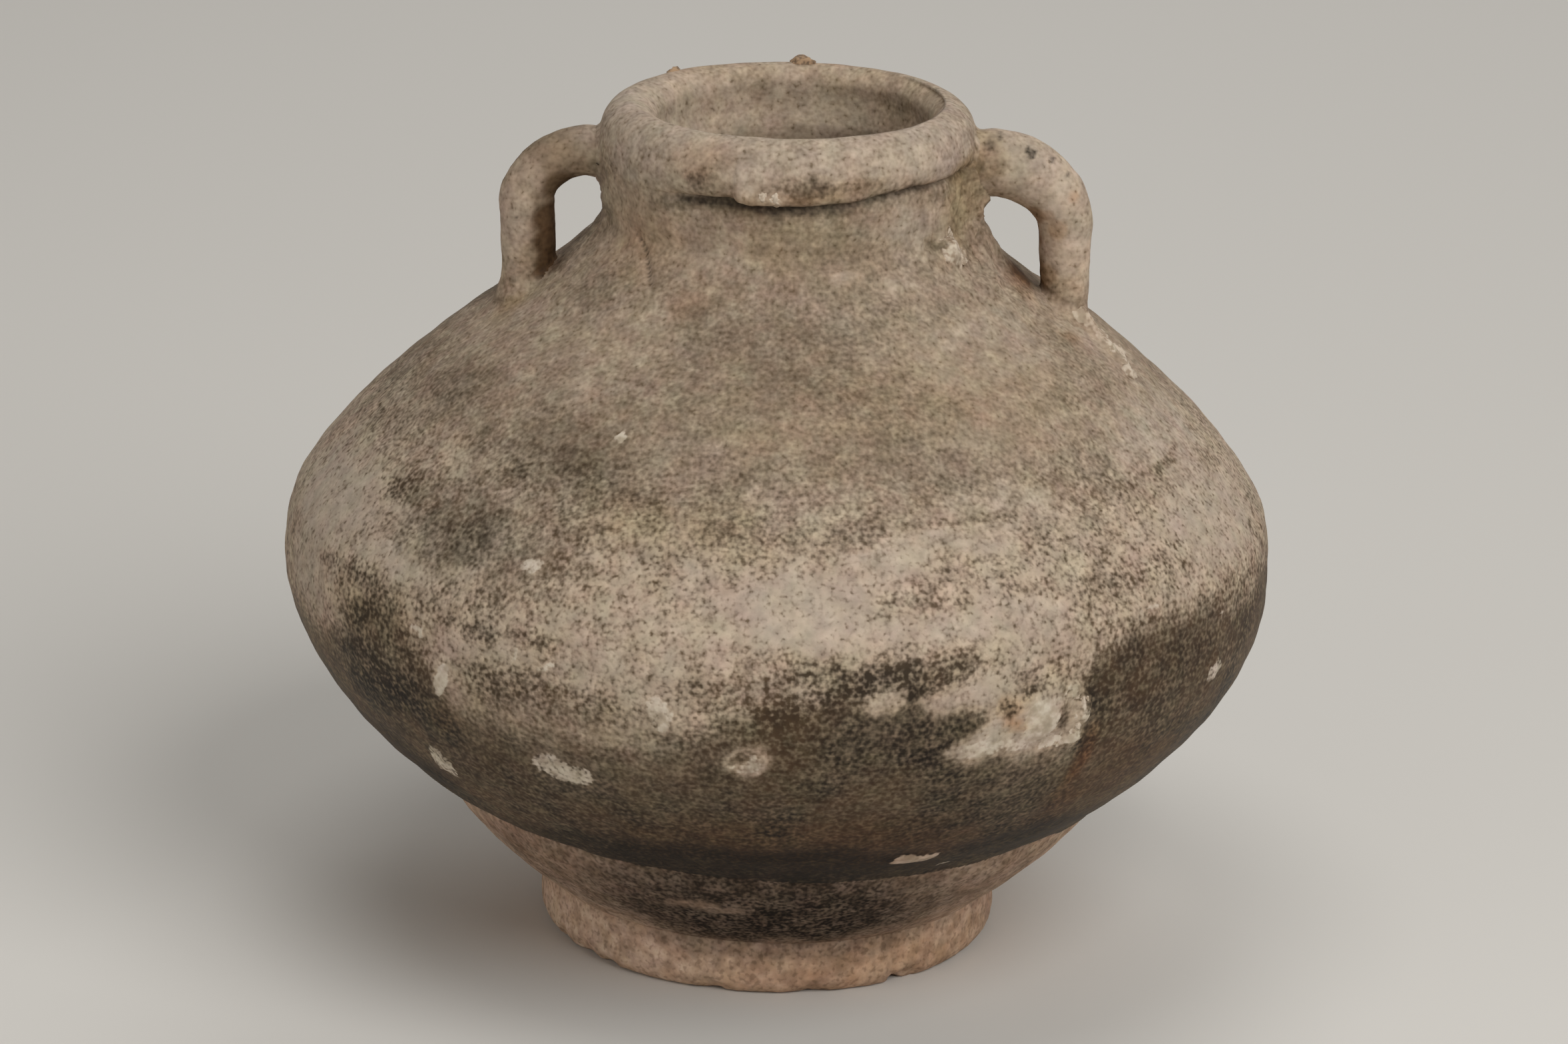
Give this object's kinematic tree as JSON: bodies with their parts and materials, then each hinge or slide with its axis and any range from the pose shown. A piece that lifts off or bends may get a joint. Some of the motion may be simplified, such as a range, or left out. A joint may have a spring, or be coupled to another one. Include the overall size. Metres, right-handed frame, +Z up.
{
  "type": "jarlet",
  "caption": "Squat stoneware jarlet with a flared belly, turned foot, rolled mouth rim and a pair of small coil handles.",
  "frame": {"origin": "middle of the foot, on the surface that the jar stands on", "axes": "+Z up along the jar's turning axis, +X through the right handle, -Y to the front"},
  "size_m": [0.1098, 0.1098, 0.0954],
  "materials": {
    "bare_clay": "matte",
    "dark_glaze": "satin",
    "pale_glaze": "matte"
  },
  "bodies": {
    "root": {"foot": "bare_clay", "lower_body": "dark_glaze", "upper_body": "pale_glaze", "neck": "pale_glaze", "rim": "pale_glaze", "left_handle": "pale_glaze", "left_handle_upper_pad": "pale_glaze", "left_handle_lower_pad": "pale_glaze", "right_handle": "pale_glaze", "right_handle_upper_pad": "pale_glaze", "right_handle_lower_pad": "pale_glaze"}
  },
  "joints": []
}
